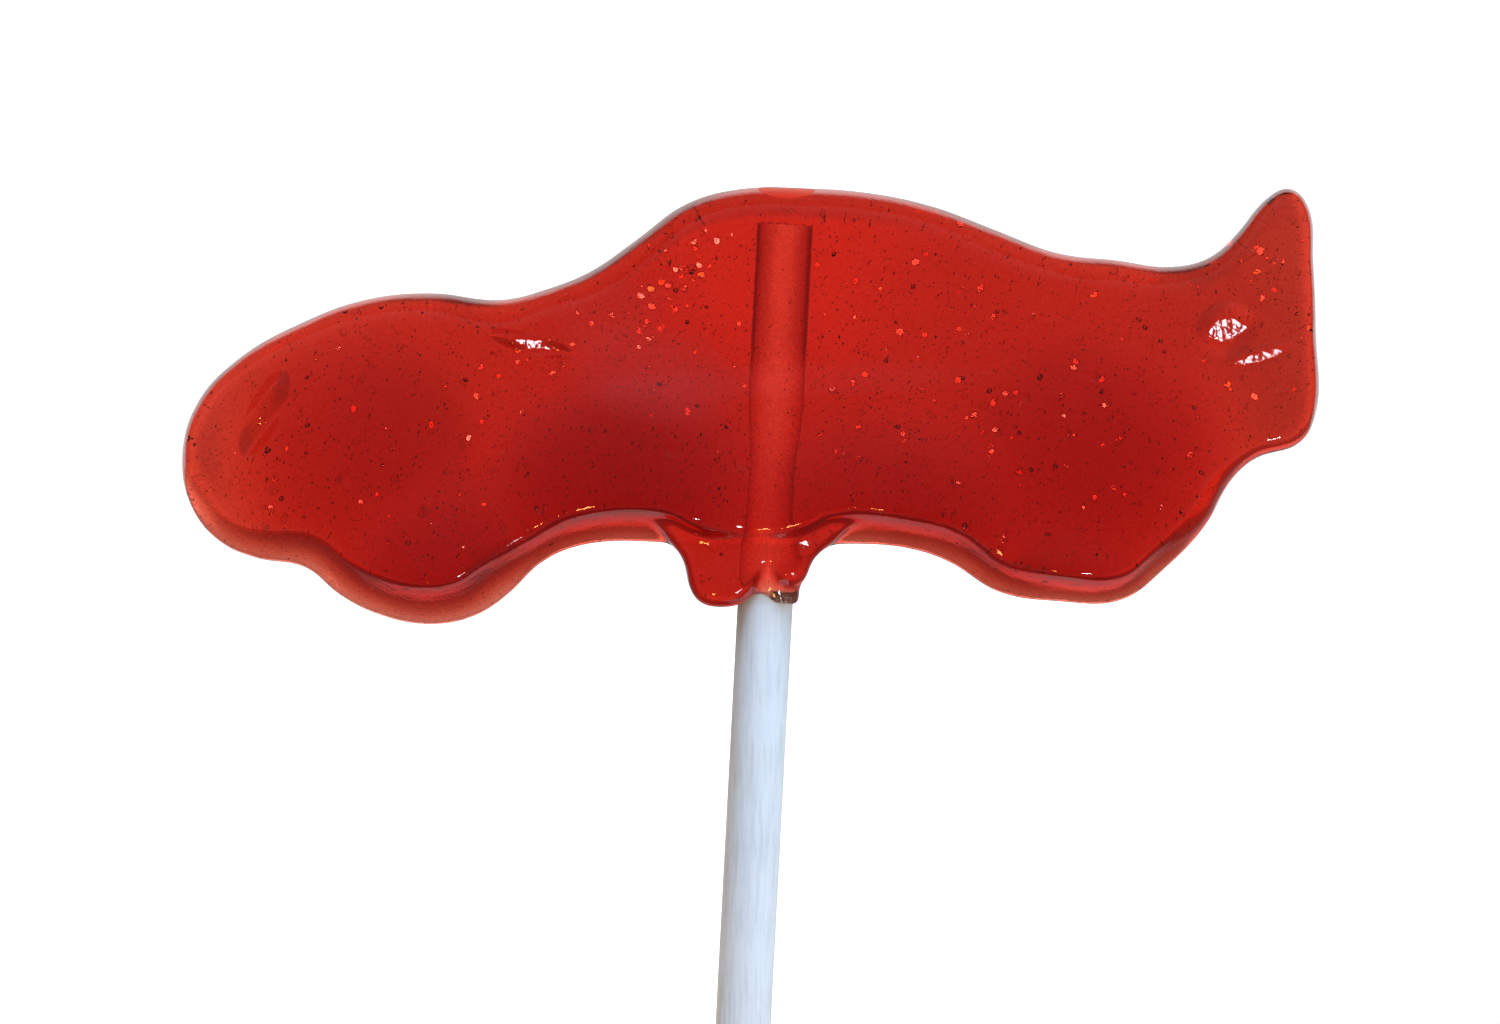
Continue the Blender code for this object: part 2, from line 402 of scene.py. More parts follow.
@dataclass(frozen=True)
class PaintedSheen(Patch):
    """A patch of the skin that scatters a little light: a painted sheen of the sky's reflection."""

    # Share of the light that the patch scatters, which paints the sheen.
    haze: float

    def share(self, tree: Tree, place: Socket) -> Socket:
        """Adds the share of the light that the patch scatters as painted sheen."""
        mask = self.inside(tree, self.start(tree, place))
        return maths(tree, "MULTIPLY", mask, self.haze)


@dataclass(frozen=True)
class BoiledSugar:
    """Boiled barley sugar, dyed red and cast clear in a milled mould.

    It is a glass of sugar, deeper in colour where it is thicker. Its skin has the fine ribs of
    the mould's cutter, slow ripples, wrinkled patches, a faint haze of dust and patches that
    scatter a little light as a painted sheen. Where it has set onto the stick it mirrors
    little.
    """

    line: StickLine
    name: str = "boiled barley sugar, red, cast"
    clear_tint: str = "#fffaf8"
    cloudy_tint: str = "#efd6d0"
    ior: float = 1.5
    wetted_ior: float = 1.03
    shrunk_ior: float = 1.08
    # Rows of pixels between which the sugar has shrunk from the stick a little.
    shrunk_rows: Span = (385.0, 345.0)
    # Gap to the stick's surface over which the wall of its bore ends.
    bore_mm: Span = (0.03, 0.06)
    # Light that a millimetre of the sugar takes off, for red, green and blue.
    absorbed_per_mm: tuple[float, float, float] = (0.145, 0.66, 0.80)
    smooth: float = 0.015
    dull: float = 0.09
    dull_cloud: Span = (0.35, 0.7)
    held_haze: float = 0.3
    cloud_mm: float = 9.0
    cloud_share: float = 0.35
    grain_mm: float = 0.22
    grain_share: float = 0.65
    tinted_mottle: Span = (0.4, 0.6)
    ripple_mm: float = 2.4
    ripple_depth_mm: float = 0.05
    rib_mm: float = 0.27
    rib_depth_mm: float = 0.0012
    rib_way: tuple[float, float, float] = (0.5, 0.866, 0.0)
    crinkles: tuple[Crinkle, ...] = ()
    # Patches of scattered light that paint a sheen on the skin.
    painted_sheens: tuple[PaintedSheen, ...] = ()
    dust: float = 0.0018

    def on_stick(self, tree: Tree, place: Socket) -> Socket:
        """Adds a mask of the wall of the bore that holds the stick."""
        inner, outer = (self.line.radius + gap * MM for gap in self.bore_mm)
        return ramp(tree, from_axis(tree, place, self.line), inner, outer, 1.0, 0.0)

    def index(self, tree: Tree, place: Socket, on_stick: Socket) -> Socket:
        """Adds the index of refraction, which is lower where the sugar holds the stick."""
        y = axis_of(tree, place, "Y")
        held = ramp_rows(tree, y, self.shrunk_rows, self.wetted_ior, self.shrunk_ior)
        return mixed(tree, on_stick, self.ior, held)

    def skin(self, tree: Tree, place: Socket) -> Socket:
        """Adds the ribs of the mould's cutter, the ripples and the wrinkled patches."""
        across = vector_maths(tree, "DOT_PRODUCT", place, self.rib_way)
        swing = maths(tree, "SINE", maths(tree, "MULTIPLY", across, math.tau / (self.rib_mm * MM)))
        height = maths(tree, "MULTIPLY", swing, self.rib_depth_mm)
        ripple = noise(tree, place, self.ripple_mm)
        height = maths(tree, "MULTIPLY_ADD", ripple, self.ripple_depth_mm, height)
        for crinkle in self.crinkles:
            height = maths(tree, "ADD", height, crinkle.height(tree, place))
        return add_node(tree, "ShaderNodeBump", {"Height": height}, Distance=MM).outputs["Normal"]

    def clearness(self, tree: Tree, place: Socket, on_stick: Socket) -> Socket:
        """Adds the share of the light that the skin lets through, less its dust and painted sheen."""
        dust: Socket | float = self.dust
        # The patches add their painted sheen to the even dust.
        for painted_sheen in self.painted_sheens:
            dust = maths(tree, "ADD", painted_sheen.share(tree, place), dust)
        bare = maths(tree, "SUBTRACT", 1.0, on_stick)
        return maths(tree, "SUBTRACT", 1.0, maths(tree, "MULTIPLY", dust, bare))

    def build(self) -> bpy.types.Material:
        """Makes the material.

        Returns:
            A clear material with absorption inside and a finely ribbed, patchy surface.
        """
        made, tree = new_tree(self.name)
        place = object_place(tree)
        cloud = noise(tree, place, self.cloud_mm, detail=4.0, rough=0.6)
        grain = noise(tree, place, self.grain_mm, detail=2.0, rough=0.6)
        grained = maths(tree, "MULTIPLY", grain, self.grain_share)
        mottle = maths(tree, "MULTIPLY_ADD", cloud, self.cloud_share, grained)
        tinted = ramp(tree, mottle, *self.tinted_mottle)
        on_stick = self.on_stick(tree, place)
        haze = maths(tree, "MULTIPLY", on_stick, self.held_haze)
        dull = ramp(tree, cloud, *self.dull_cloud, self.smooth, self.dull)
        shader = add_node(
            tree,
            "ShaderNodeBsdfPrincipled",
            {
                "Base Color": blend(tree, tinted, self.clear_tint, self.cloudy_tint),
                "Roughness": maths(tree, "MAXIMUM", dull, haze),
                "Normal": self.skin(tree, place),
                "IOR": self.index(tree, place, on_stick),
                "Transmission Weight": self.clearness(tree, place, on_stick),
            },
        )
        strongest = max(self.absorbed_per_mm)
        colour = [1.0 - share / strongest for share in self.absorbed_per_mm]
        inside = add_node(
            tree, "ShaderNodeVolumeAbsorption", Color=(*colour, 1.0), Density=strongest / MM
        )
        close_tree(tree, shader, inside)
        log.info("patches: %s", ", ".join(patch.name for patch in (*self.crinkles, *self.painted_sheens)))
        return made


@dataclass(frozen=True)
class RolledPaper:
    """Bleached kraft paper, rolled tight into a stick and left uncoated.

    It is matte, with fibres along the stick, the edge of the sheet winding round it, and its
    layers showing at the end.
    """

    line: StickLine
    name: str = "bleached rolled paper"
    bright: str = "#f4f2ee"
    shaded: str = "#e2e0dc"
    roughness: float = 0.65
    fibre_mm: float = 0.35
    fibre_stretch: float = 0.08
    fibre_depth_mm: float = 0.012
    fibre_share: float = 0.7
    mottle_mm: float = 6.0
    mottle_share: float = 0.3
    bright_mottle: Span = (0.35, 0.6)
    seam_pitch_mm: float = 55.0
    seam_depth_mm: float = 0.03
    # Where the seam starts and how wide it is, in turns round the stick.
    seam_start: float = 0.42
    seam_width: float = 0.02
    layer_mm: float = 0.16
    layer_depth_mm: float = 0.02

    def seam(self, tree: Tree, place: Socket) -> Socket:
        """Adds the step at the edge of the sheet, which winds slowly round the stick."""
        start = vector_maths(tree, "SUBTRACT", place, self.line.top)
        upward = self.line.across.cross(self.line.along)
        side = vector_maths(tree, "DOT_PRODUCT", start, self.line.across)
        rise = vector_maths(tree, "DOT_PRODUCT", start, upward)
        run = vector_maths(tree, "DOT_PRODUCT", start, self.line.along)
        wound = maths(tree, "MULTIPLY_ADD", run, 1.0 / (self.seam_pitch_mm * MM), self.seam_start)
        angle = maths(tree, "ARCTAN2", rise, side)
        around = maths(tree, "MULTIPLY_ADD", angle, 1.0 / math.tau, wound)
        return ramp(tree, maths(tree, "FRACT", around), 0.0, self.seam_width)

    def relief(self, tree: Tree, place: Socket, fibres: Socket, seam: Socket) -> Socket:
        """Adds the normal of the fibres, the seam and the layers at the end."""
        gap = from_axis(tree, place, self.line)
        layers = maths(tree, "SINE", maths(tree, "MULTIPLY", gap, math.tau / (self.layer_mm * MM)))
        height = maths(tree, "MULTIPLY", fibres, self.fibre_depth_mm)
        height = maths(tree, "MULTIPLY_ADD", layers, self.layer_depth_mm, height)
        height = maths(tree, "MULTIPLY_ADD", seam, self.seam_depth_mm, height)
        return add_node(tree, "ShaderNodeBump", {"Height": height}, Distance=MM).outputs["Normal"]

    def build(self) -> bpy.types.Material:
        """Makes the material.

        Returns:
            A matte paper material.
        """
        made, tree = new_tree(self.name)
        place = object_place(tree)
        stretched = add_node(
            tree, "ShaderNodeMapping", {"Vector": place}, Scale=(1.0, self.fibre_stretch, 1.0)
        ).outputs["Vector"]
        fibres = noise(tree, stretched, self.fibre_mm, detail=5.0, rough=0.65)
        mottle = noise(tree, place, self.mottle_mm, detail=2.0)
        seam = self.seam(tree, place)
        mottled = maths(tree, "MULTIPLY", mottle, self.mottle_share)
        share = maths(tree, "MULTIPLY_ADD", fibres, self.fibre_share, mottled)
        flat = maths(tree, "MULTIPLY", ramp(tree, share, *self.bright_mottle), seam)
        shader = add_node(
            tree,
            "ShaderNodeBsdfPrincipled",
            {
                "Base Color": blend(tree, flat, self.shaded, self.bright),
                "Normal": self.relief(tree, place, fibres, seam),
            },
            Roughness=self.roughness,
        )
        close_tree(tree, shader)
        return made


@dataclass(frozen=True)
class SoakedPaper:
    """The part of the paper stick inside the sweet, soaked with sugar and hardly opaque."""

    name: str = "rolled paper soaked with sugar"
    dry: str = "#f5988c"
    wet: str = "#ea8478"
    bare: str = "#eee9e2"
    mottle_mm: float = 1.2
    soaked_clear: float = 0.94
    upper_clear: float = 0.88
    # Rows of pixels between which the paper gets clear, takes the sugar's colour, and is less
    # clear again toward its upper end.
    soaked_rows: Span = (603.0, 582.0)
    tinted_rows: Span = (598.0, 566.0)
    upper_rows: Span = (385.0, 345.0)

    def build(self) -> bpy.types.Material:
        """Makes the material.

        Returns:
            A paper material that lets most light through where the sugar soaked it, and none
            where it leaves the sweet. It doesn't mirror, as there is sugar around it and not air.
        """
        made, tree = new_tree(self.name)
        place = object_place(tree)
        y = axis_of(tree, place, "Y")
        soaked = ramp_rows(tree, y, self.soaked_rows)
        tint = blend(tree, noise(tree, place, self.mottle_mm), self.wet, self.dry)
        upper = ramp_rows(tree, y, self.upper_rows, self.soaked_clear, self.upper_clear)
        shader = add_node(
            tree,
            "ShaderNodeBsdfPrincipled",
            {
                "Base Color": blend(tree, ramp_rows(tree, y, self.tinted_rows), self.bare, tint),
                "Transmission Weight": maths(tree, "MULTIPLY", soaked, upper),
            },
            Roughness=0.9,
            IOR=1.0,
            Specular_IOR_Level=0.0,
        )
        close_tree(tree, shader)
        return made


@dataclass(frozen=True)
class TrappedAir:
    """Air in the sugar: glass turned inside out, as a bubble bends light the other way."""

    name: str = "air trapped in sugar"
    ior: float = 1.0 / 1.5
    haze_mm: float = 0.4
    haze: float = 0.05
    hazy: Span = (0.3, 0.7)

    def build(self) -> bpy.types.Material:
        """Makes the material.

        Returns:
            A clear material for the surface between sugar and air.
        """
        made, tree = new_tree(self.name)
        patches = noise(tree, object_place(tree), self.haze_mm)
        haze = ramp(tree, patches, *self.hazy, 0.0, self.haze)
        shader = add_node(tree, "ShaderNodeBsdfGlass", {"Roughness": haze}, IOR=self.ior)
        shader.inputs["Color"].default_value = (1.0, 1.0, 1.0, 1.0)
        close_tree(tree, shader)
        return made


@dataclass(frozen=True)
class BurntSugar:
    """Specks of caramelised sugar caught in the casting, dark brown-red and dull."""

    name: str = "caramelised sugar specks"
    dark: str = "#2c0a08"
    light: str = "#7a1c12"
    speck_mm: float = 0.3
    lighter: Span = (0.35, 0.65)

    def build(self) -> bpy.types.Material:
        """Makes the material.

        Returns:
            A dull dark material that varies from speck to speck.
        """
        made, tree = new_tree(self.name)
        tone = ramp(tree, noise(tree, object_place(tree), self.speck_mm), *self.lighter)
        shader = add_node(
            tree,
            "ShaderNodeBsdfPrincipled",
            {"Base Color": blend(tree, tone, self.dark, self.light)},
            Roughness=0.6,
        )
        close_tree(tree, shader)
        return made


@dataclass(frozen=True)
class LightPanel:
    """Opal light panel some way under the sweet.

    It is brighter in the middle and most under the roof, and dimmer beside the foot of the
    stick. Beyond the roof an even stretch, a dim one and a bright lamp follow, which show in
    the slopes under the sill and the wheels.
    """

    name: str = "opal light panel"
    colour: str = "#303030"
    end_glow: float = 1.0
    middle_gain: float = 0.50
    middle_fall_mm: Span = (22.0, 44.0)
    roof_gain: float = 0.42
    roof_pixel: Pixel = (785.0, 250.0)
    roof_fall_mm: Span = (3.0, 13.0)
    open_glow: float = 1.04
    open_start_mm: Span = (16.0, 26.0)
    dim_loss: float = 0.16
    dim_start_mm: Span = (33.0, 46.0)
    lamp_gain: float = 1.8
    lamp_start_mm: Span = (64.0, 90.0)
    foot_loss: float = 0.55
    foot_start_mm: Span = (-50.0, -62.0)
    foot_side_mm: Span = (10.0, 26.0)

    def glow(self, tree: Tree, place: Socket) -> Socket:
        """Adds the strength of the light at each place of the panel."""
        up = axis_of(tree, place, "Y")
        aside = axis_of(tree, vector_maths(tree, "ABSOLUTE", place), "X")
        roof = from_pixel(*self.roof_pixel) - Vector((0.0, 0.0, PANEL_DEPTH_MM * MM))
        under_roof = vector_maths(tree, "DISTANCE", place, roof)
        brightest = self.end_glow + self.middle_gain
        middle = ramp_mm(tree, aside, self.middle_fall_mm, brightest, self.end_glow)
        roof_light = ramp_mm(tree, under_roof, self.roof_fall_mm, self.roof_gain, 0.0)
        inner = maths(tree, "ADD", middle, roof_light)
        glow = mixed(tree, ramp_mm(tree, up, self.open_start_mm), inner, self.open_glow)
        dim = ramp_mm(tree, up, self.dim_start_mm, 0.0, self.dim_loss)
        glow = maths(tree, "SUBTRACT", glow, dim)
        lamp = ramp_mm(tree, up, self.lamp_start_mm, 0.0, self.lamp_gain)
        glow = maths(tree, "ADD", glow, lamp)
        foot = ramp_mm(tree, up, self.foot_start_mm, 0.0, self.foot_loss)
        beside = ramp_mm(tree, aside, self.foot_side_mm)
        return maths(tree, "SUBTRACT", glow, maths(tree, "MULTIPLY", foot, beside))

    def build(self) -> bpy.types.Material:
        """Makes the material.

        Returns:
            A dark matte material that gives light of its own.
        """
        made, tree = new_tree(self.name)
        shader = add_node(
            tree,
            "ShaderNodeBsdfPrincipled",
            {"Emission Strength": self.glow(tree, object_place(tree))},
            Base_Color=linear(self.colour),
            Roughness=0.9,
            Emission_Color=(1.0, 1.0, 1.0, 1.0),
        )
        close_tree(tree, shader)
        return made


# --- Modelling helpers -----------------------------------------------------------------------


def select_only(*things: Thing) -> None:
    """Selects these objects alone and makes the first the active one."""
    bpy.ops.object.select_all(action="DESELECT")
    for thing in things:
        thing.select_set(True)
    bpy.context.view_layer.objects.active = things[0]


def add_object(name: str, data: bpy.types.ID) -> Thing:
    """Adds an object to the scene for a mesh, a lamp or a camera."""
    made = bpy.data.objects.new(name, data)
    bpy.context.scene.collection.objects.link(made)
    return made


def add_shape(name: str, add: Callable[..., Any], **settings: Any) -> Thing:
    """Adds one of Blender's basic shapes.

    Args:
        name: The object's name.
        add: The operator that adds the shape.
        **settings: What the operator is told.

    Returns:
        The shape.
    """
    bpy.ops.object.select_all(action="DESELECT")
    add(**settings)
    made = bpy.context.object
    made.name = name
    return made


@contextmanager
def editing(thing: Thing) -> Iterator[None]:
    """Opens a mesh for editing with all of it selected, and closes it afterwards."""
    select_only(thing)
    bpy.ops.object.mode_set(mode="EDIT")
    bpy.ops.mesh.select_all(action="SELECT")
    yield
    bpy.ops.object.mode_set(mode="OBJECT")


def apply_modifier(thing: Thing, kind: str, **settings: Any) -> None:
    """Adds a modifier, sets it and applies it.

    Args:
        thing: The object to change.
        kind: The modifier's type, such as REMESH.
        **settings: Its attributes by name.
    """
    step = thing.modifiers.new(kind.title(), kind)
    for name, value in settings.items():
        setattr(step, name, value)
    select_only(thing)
    bpy.ops.object.modifier_apply(modifier=step.name)


def settle(thing: Thing) -> None:
    """Puts the object's place into its mesh, so that the object sits at the origin."""
    select_only(thing)
    bpy.ops.object.transform_apply(location=True, rotation=True, scale=True)


def finish_piece(thing: Thing, node: str, slot: str, *finishes: bpy.types.Material) -> None:
    """Gives a piece its materials and its place in the frame.

    Args:
        thing: The finished piece.
        node: The CAD node that it stands for, or an empty string.
        slot: The record's material slot; not used.
        *finishes: The materials, the first of which is on every face.
    """
    thing.data.materials.clear()
    for finish in finishes:
        thing.data.materials.append(finish)
    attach(thing, "root")
    if node:
        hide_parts(node)
    log.info("%s: %d faces", thing.name, len(thing.data.polygons))


def rod(name: str, line: StickLine, start: Vector, end: Vector, radius: float) -> Thing:
    """Adds a closed cylinder along the stick's axis.

    Args:
        name: The object's name.
        line: The stick's axis.
        start: Middle of the end toward the top.
        end: Middle of the other end.
        radius: The cylinder's radius.

    Returns:
        The cylinder, with its place in its mesh.
    """
    made = add_shape(
        name,
        bpy.ops.mesh.primitive_cylinder_add,
        vertices=96,
        radius=radius,
        depth=(end - start).length,
        location=(start + end) / 2,
        rotation=line.along.to_track_quat("Z", "X").to_euler(),
    )
    settle(made)
    return made


def join_solid(target: Thing, operation: str, tool: Thing) -> None:
    """Adds a solid to the target or takes it off, and removes the solid."""
    apply_modifier(target, "BOOLEAN", operation=operation, solver="EXACT", object=tool)
    bpy.data.objects.remove(tool, do_unlink=True)


def scatter(name: str, model: Thing, places: Sequence[Matrix]) -> Thing:
    """Copies a model to each of the places, joins the copies and removes the model.

    Args:
        name: The joined object's name.
        model: The piece that is repeated.
        places: A transform for each copy.

    Returns:
        The joined copies.
    """
    copies = []
    for place in places:
        mesh = model.data.copy()
        mesh.transform(place)
        copies.append(add_object(name, mesh))
    bpy.data.objects.remove(model, do_unlink=True)
    select_only(*copies)
    if len(copies) > 1:
        bpy.ops.object.join()
    joined = bpy.context.view_layer.objects.active
    joined.name = name
    return joined


# --- The sugar -------------------------------------------------------------------------------


@dataclass
class CastSugar:
    """The sugar casting, recast over its CAD solid."""

    node: Thing
    line: StickLine
    grid_mm: float = 0.26
    quick_grid: float = 1.6
    melt_passes: int = 12
    film_mm: float = 0.36
    film_start_pixel: float = 556.0
    film_end_pixel: float = 594.0
    # How far the film starts above the stick, and how far its end sinks into the paper.
    film_above_mm: float = 0.5
    film_sink_mm: float = 0.05
    grip_mm: float = 0.46
    lobe_start_mm: float = -8.0
    # Where the two lobes of the collar end on the stick, before and behind its axis.
    lobe_ends_pixel: tuple[float, float] = (603.0, 587.0)
    dip_start: tuple[float, float, float] = (769.3, 547.0, 7.6)
    dip_slope: float = 6.0
    dip_spread: float = 21.0
    dip_length_mm: float = 8.0
    bore_gap_mm: float = 0.015

    def body(self) -> Thing:
        """Copies the CAD solid and joins its loose triangles.

        Returns:
            The new object.
        """
        made = add_object("sugar_casting", self.node.data.copy())
        with editing(made):
            bpy.ops.mesh.remove_doubles(threshold=0.001 * MM)
        return made

    def film(self) -> Thing:
        """Returns the sugar round the stick, down to the film that thins out on the paper."""
        wide = self.line.radius + self.film_mm * MM
        above = self.line.top - self.line.along * self.film_above_mm * MM
        start = self.line.at_level(level_of(self.film_start_pixel))
        end = self.line.at_level(level_of(self.film_end_pixel))
        made = rod("sugar_film", self.line, above, start, wide)
        with editing(made):
            bpy.ops.mesh.select_all(action="DESELECT")
        # The lower end alone looks along the stick.
        for face in made.data.polygons:
            face.select = face.normal.dot(self.line.along) > 0.9
        bpy.ops.object.mode_set(mode="EDIT")
        bpy.ops.mesh.extrude_region_move(TRANSFORM_OT_translate={"value": end - start})
        shrink = (self.line.radius - self.film_sink_mm * MM) / wide
        bpy.ops.transform.resize(value=(shrink, shrink, shrink))
        bpy.ops.object.mode_set(mode="OBJECT")
        return made

    def dip(self) -> Thing:
        """Returns the cone that hollows the sugar where it thins out on the stick."""
        length = self.dip_length_mm * MM
        slope = math.radians(self.dip_slope)
        way = self.line.along * math.cos(slope) - Vector((0.0, 0.0, math.sin(slope)))
        made = add_shape(
            "dip",
            bpy.ops.mesh.primitive_cone_add,
            vertices=64,
            radius1=length * math.tan(math.radians(self.dip_spread)),
            depth=length,
            location=from_pixel(*self.dip_start) + way * length / 2,
            rotation=(-way).to_track_quat("Z", "X").to_euler(),
        )
        settle(made)
        return made

    def lobe(self, side: float, end_pixel: float) -> Thing:
        """Returns the sugar round one side of the stick in the collar.

        Args:
            side: Minus one for the side before the stick's axis, one for the side behind it.
            end_pixel: The row of pixels where it ends on the stick.

        Returns:
            Half of a thick sleeve, hollowed by the dip.
        """
        low = self.line.at_level(self.lobe_start_mm * MM)
        lip = self.line.at_level(level_of(end_pixel))
        made = rod("sugar_lobe", self.line, low, lip, self.line.radius + self.grip_mm * MM)
        with editing(made):
            bpy.ops.mesh.bisect(
                plane_co=low, plane_no=self.line.across * side, use_fill=True, clear_inner=True
            )
        join_solid(made, "DIFFERENCE", self.dip())
        return made

    def build(self, finish: bpy.types.Material, pits: Callable[[BVHTree], Thing]) -> Thing:
        """Builds the casting.

        Args:
            finish: The sugar's material.
            pits: Makes the balls that burst bubbles leave in the face, for the form's skin.

        Returns:
            The finished piece.
        """
        casting = self.body()
        lobes = [self.lobe(side, end) for side, end in zip((-1.0, 1.0), self.lobe_ends_pixel)]
        for part in (self.film(), *lobes):
            part.select_set(True)
        casting.select_set(True)
        bpy.context.view_layer.objects.active = casting
        bpy.ops.object.join()
        grid = self.grid_mm * 1.0
        apply_modifier(casting, "REMESH", mode="VOXEL", voxel_size=grid * MM)
        apply_modifier(casting, "SMOOTH", factor=0.5, iterations=self.melt_passes)
        join_solid(casting, "DIFFERENCE", pits(skin_of(casting)))
        gap = self.bore_gap_mm * MM
        above = self.line.top - self.line.along * gap
        bore = rod("bore", self.line, above, self.line.foot, self.line.radius + gap)
        join_solid(casting, "DIFFERENCE", bore)
        select_only(casting)
        bpy.ops.object.shade_smooth_by_angle(angle=math.radians(30.0))
        finish_piece(casting, "candy", "sugar", finish)
        return casting


def skin_of(thing: Thing) -> BVHTree:
    """Returns the surface of an object, for rays and distances."""
    return BVHTree.FromObject(thing, bpy.context.evaluated_depsgraph_get())


def face_under(skin: BVHTree, place: Vector) -> tuple[Vector | None, Vector | None]:
    """Returns the point of the face under a place and its normal, or None for both beside it."""
    start = Vector((place.x, place.y, RAY_HEIGHT))
    return skin.ray_cast(start, Vector((0.0, 0.0, -1.0)))[:2]


# --- What is in the sugar --------------------------------------------------------------------

# Burst bubbles that left a pit in the face: pixel and radius of the pit in millimetres.
PITS: tuple[tuple[Pixel, float], ...] = (
    ((672, 452), 0.55),
    ((742, 464), 0.60),
    ((790, 425), 0.22),
    ((1090, 378), 0.45),
    ((1062, 436), 0.50),
    ((1022, 400), 0.40),
    ((507, 402), 0.42),
    ((348, 480), 0.50),
    ((505, 450), 0.40),
    ((942, 239), 0.32),
    ((965, 240), 0.32),
    ((960, 295), 0.36),
    ((965, 340), 0.36),
    ((888, 355), 0.40),
    ((918, 362), 0.34),
    ((925, 490), 0.42),
)


@dataclass
class Inclusions:
    """Air and specks in the sugar, placed by rays through its skin."""

    skin: BVHTree
    line: StickLine
    seed: int = 20
    clear_mm: float = 0.12
    # The stretch of the photograph in which places are picked.
    columns: Span = (180.0, 1320.0)
    rows: Span = (180.0, 630.0)
    picked: random.Random = field(init=False)

    def __post_init__(self) -> None:
        """Starts the row of random numbers."""
        self.picked = random.Random(self.seed)

    def top_at(self, place: Vector) -> float | None:
        """Returns the height of the face at a place, or None beside the sweet."""
        point = face_under(self.skin, place)[0]
        return point.z if point else None

    def clear_of_walls(self, middle: Vector, radius: float) -> bool:
        """Returns whether a ball fits in the sugar there, away from its skin and the stick."""
        top = self.top_at(middle)
        if top is None or not radius < middle.z < top - radius:
            return False
        near = self.skin.find_nearest(middle)
        gap = radius + self.clear_mm * MM
        return near[3] > gap and self.line.gap(middle) > self.line.radius + gap

    def sink(self, place: Vector, radius: float, depth_mm: Span | None) -> Vector | None:
        """Lowers a place into the sugar at random.

        Args:
            place: The place, of which the height is set.
            radius: Radius in metres of the ball that goes there.
            depth_mm: Least and greatest depth under the face, or None for any depth.

        Returns:
            The middle of the ball, or None if it has no room there.
        """
        top = self.top_at(place)
        if top is None:
            return None
        if depth_mm:
            place.z = top - self.picked.uniform(*depth_mm) * MM
        else:
            place.z = self.picked.uniform(0.0, top)
        return place if self.clear_of_walls(place, radius) else None

    def spot(self, radius: float, depth_mm: Span | None = None) -> Vector | None:
        """Returns a place for a ball anywhere in the sugar, or None if the first has no room."""
        place = from_pixel(self.picked.uniform(*self.columns), self.picked.uniform(*self.rows))
        return self.sink(place, radius, depth_mm)

    def near(self, pixel: Pixel, spread: float, radius: float, depth_mm: Span) -> Vector | None:
        """Returns a place for a ball near a pixel, spread by some pixels, or None."""
        place = from_pixel(self.picked.gauss(pixel[0], spread), self.picked.gauss(pixel[1], spread))
        return self.sink(place, radius, depth_mm)

    def any_turn(self) -> Matrix:
        """Returns a random turn."""
        angles = [self.picked.uniform(0.0, math.tau) for _ in range(3)]
        turn = Matrix.Rotation(angles[0], 4, "Z") @ Matrix.Rotation(angles[1], 4, "X")
        return turn @ Matrix.Rotation(angles[2], 4, "Z")


class Size(Enum):
    """Least and greatest radius of what is in the sugar, in millimetres."""

    BUBBLE = (0.08, 0.22)
    SEED = (0.035, 0.085)
    FLAKE = (0.12, 0.34)
    SPECK = (0.03, 0.08)


def ball(name: str, rounds: int, squash: Sequence[float]) -> Thing:
    """Adds a slightly uneven ball with a radius of one metre, to be copied in small.

    Args:
        name: The object's name.
        rounds: How often its faces are divided.
        squash: Its width along each axis, as a share of a ball's.

    Returns:
        The ball.
    """
    made = add_shape(name, bpy.ops.mesh.primitive_ico_sphere_add, subdivisions=rounds, radius=1.0)
    with editing(made):
        bpy.ops.transform.resize(value=tuple(squash))
    made.data.shade_smooth()
    return made


def flake(thickness: float = 0.12, narrowed: Sequence[float] = (0.9, 0.7, 1.0)) -> Thing:
    """Adds a thin flat pane with an uneven rim and a radius of one metre, to be copied in small.

    Args:
        thickness: Its thickness in metres.
        narrowed: Size of its upper face along each axis, as a share of the lower one's.

    Returns:
        The pane.
    """
    circle = {"vertices": 9, "radius": 1.0, "fill_type": "NGON"}
    made = add_shape("air_flake", bpy.ops.mesh.primitive_circle_add, **circle)
    with editing(made):
        lift = {"value": (0.0, 0.0, thickness)}
        bpy.ops.mesh.extrude_region_move(TRANSFORM_OT_translate=lift)
        bpy.ops.transform.resize(value=tuple(narrowed))
        bpy.ops.mesh.select_all(action="SELECT")
        bpy.ops.mesh.normals_make_consistent(inside=False)
    return made


def sized(radius: float) -> Matrix:
    """Returns the scaling by a radius."""
    return Matrix.Scale(radius, 4)


